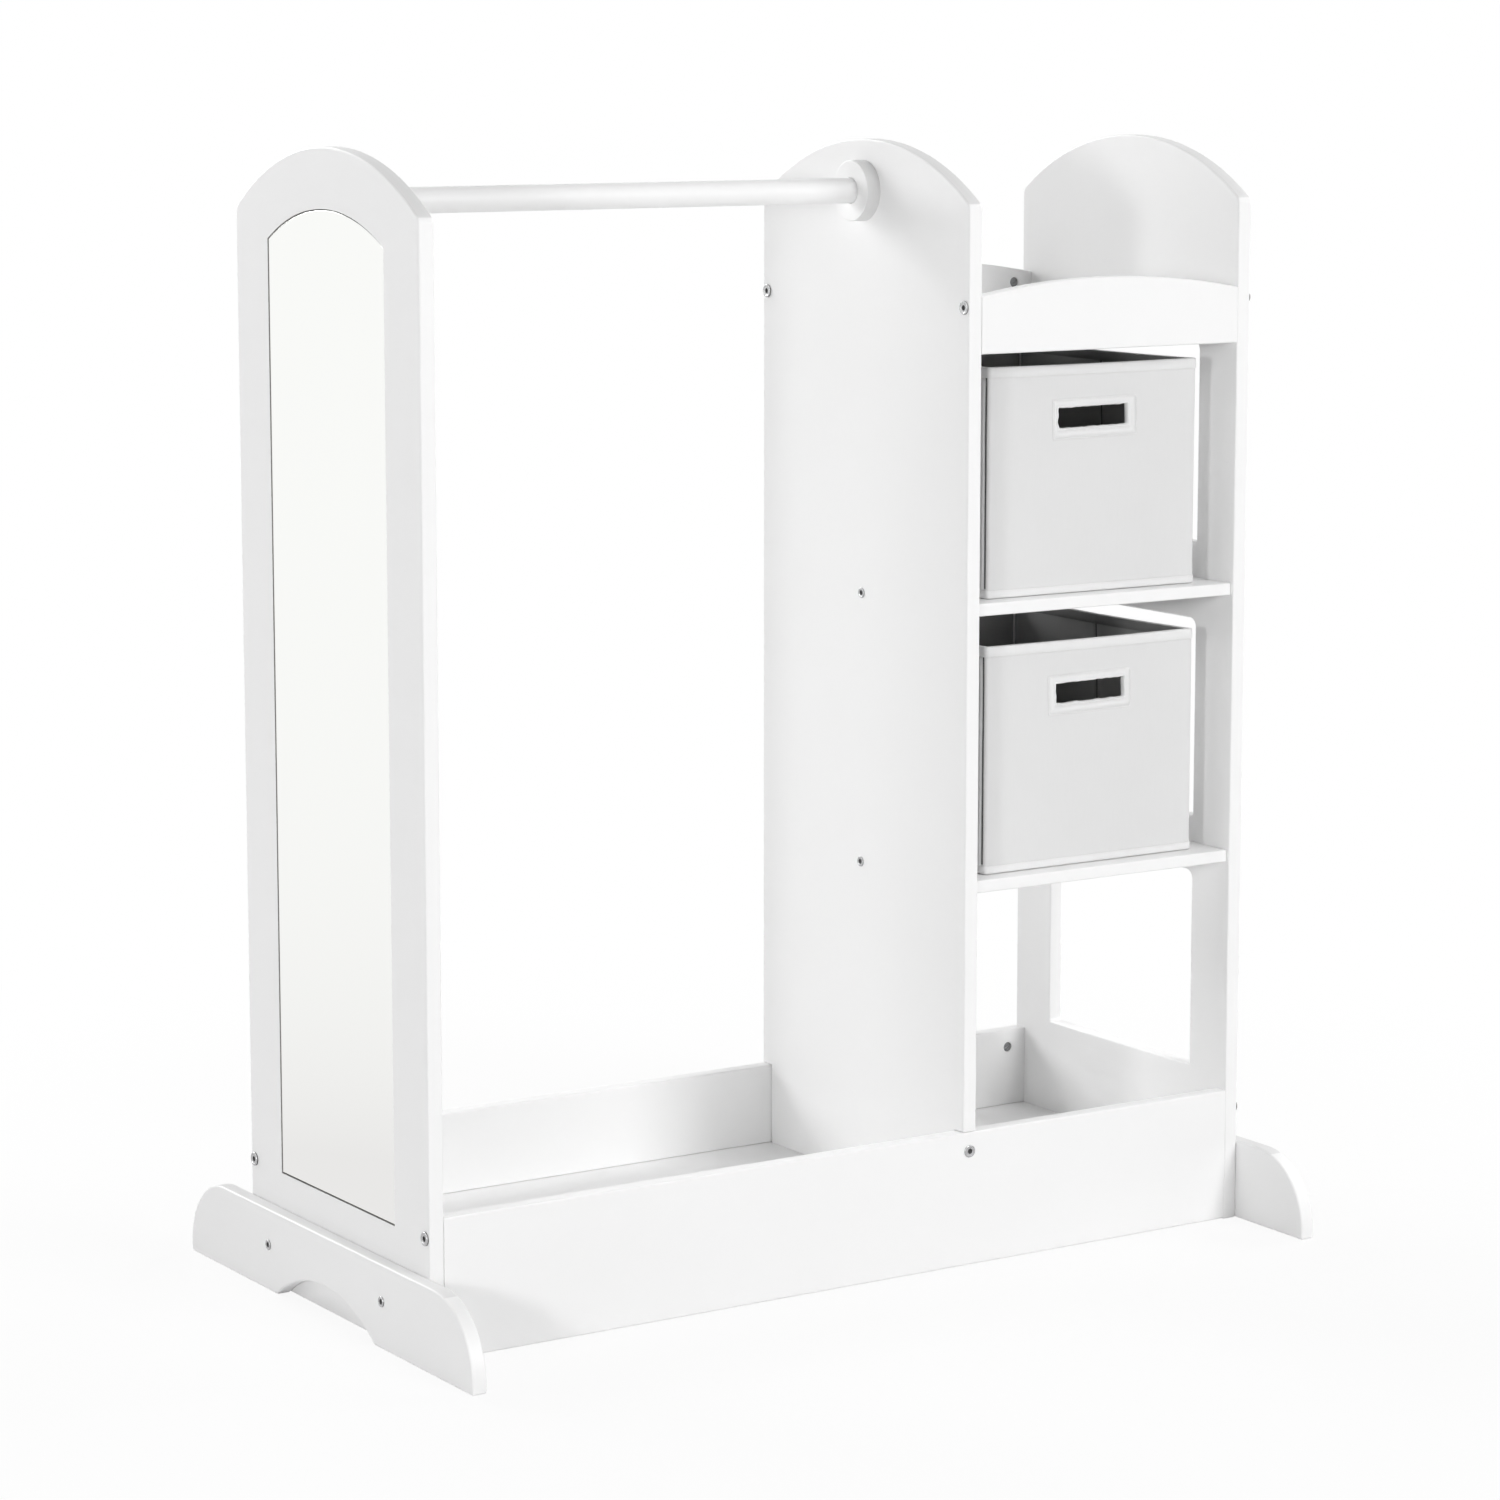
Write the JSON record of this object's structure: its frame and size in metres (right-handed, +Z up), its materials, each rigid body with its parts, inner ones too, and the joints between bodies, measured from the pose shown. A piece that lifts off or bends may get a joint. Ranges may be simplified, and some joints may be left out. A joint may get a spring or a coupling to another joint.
{
  "type": "dress-up storage unit with mirror",
  "caption": "Child's white dress-up storage unit: hanging rod between arched panels, shelf column with pull-out fabric bins, tall mirror on the side, feet.",
  "frame": {"origin": "on the floor, under the middle of the unit's bounding box", "axes": "+X to the viewer's right along the hanging rod, from the mirror panel to the shelf column; +Y to the back, so the bins pull out along -Y; +Z up"},
  "size_m": [0.942, 0.555, 1.066],
  "materials": {
    "white_paint": "satin white paint on fibreboard",
    "mirror_glass": "polished silvered glass",
    "foam_pad": "closed-cell adhesive foam",
    "screw_steel": "zinc-plated steel",
    "nut_steel": "zinc-plated steel",
    "dowel_beech": "raw beech",
    "bin_fabric": "light grey non-woven canvas",
    "bin_trim": "pale sewn binding",
    "bin_lining": "dark grey non-woven lining with a slight sheen",
    "bin_board": "grey stiffening board",
    "handle_frame": "pale moulded frame"
  },
  "bodies": {
    "frame": {"left_panel": "white_paint", "middle_panel": "white_paint", "right_panel": "white_paint", "front_rail": "white_paint", "back_rail": "white_paint", "bay_floor": "white_paint", "cubby_floor": "white_paint", "lower_shelf": "white_paint", "upper_shelf": "white_paint", "tray_board": "white_paint", "front_apron": "white_paint", "back_apron": "white_paint", "mirror": "mirror_glass", "mirror_pads": "foam_pad", "hanging_rod": "white_paint", "left_rod_flange": "white_paint", "right_rod_flange": "white_paint", "flange_screws": "screw_steel", "left_foot": "white_paint", "right_foot": "white_paint", "foot_screws": "screw_steel", "rail_bolts": "screw_steel", "rail_barrel_nuts": "nut_steel", "apron_bolts": "screw_steel", "apron_barrel_nuts": "nut_steel", "shelf_screws": "screw_steel", "divider_screws": "screw_steel", "rail_dowels": "dowel_beech", "apron_dowels": "dowel_beech", "shelf_dowels": "dowel_beech"},
    "upper_bin": {"upper_bin_cover": "bin_fabric", "upper_bin_wall_boards": "bin_board", "upper_bin_lining": "bin_lining", "upper_bin_base_board": "bin_lining", "upper_bin_hem": "bin_trim", "upper_bin_band": "bin_trim", "upper_bin_handle": "handle_frame"},
    "lower_bin": {"lower_bin_cover": "bin_fabric", "lower_bin_wall_boards": "bin_board", "lower_bin_lining": "bin_lining", "lower_bin_base_board": "bin_lining", "lower_bin_hem": "bin_trim", "lower_bin_band": "bin_trim", "lower_bin_handle": "handle_frame"}
  },
  "joints": [
    {"name": "upper_bin_slide", "type": "slide", "parent": "frame", "child": "upper_bin", "axis": [0, -1, 0], "range_m": [0, 0.3]},
    {"name": "lower_bin_slide", "type": "slide", "parent": "frame", "child": "lower_bin", "axis": [0, -1, 0], "range_m": [0, 0.3]}
  ]
}
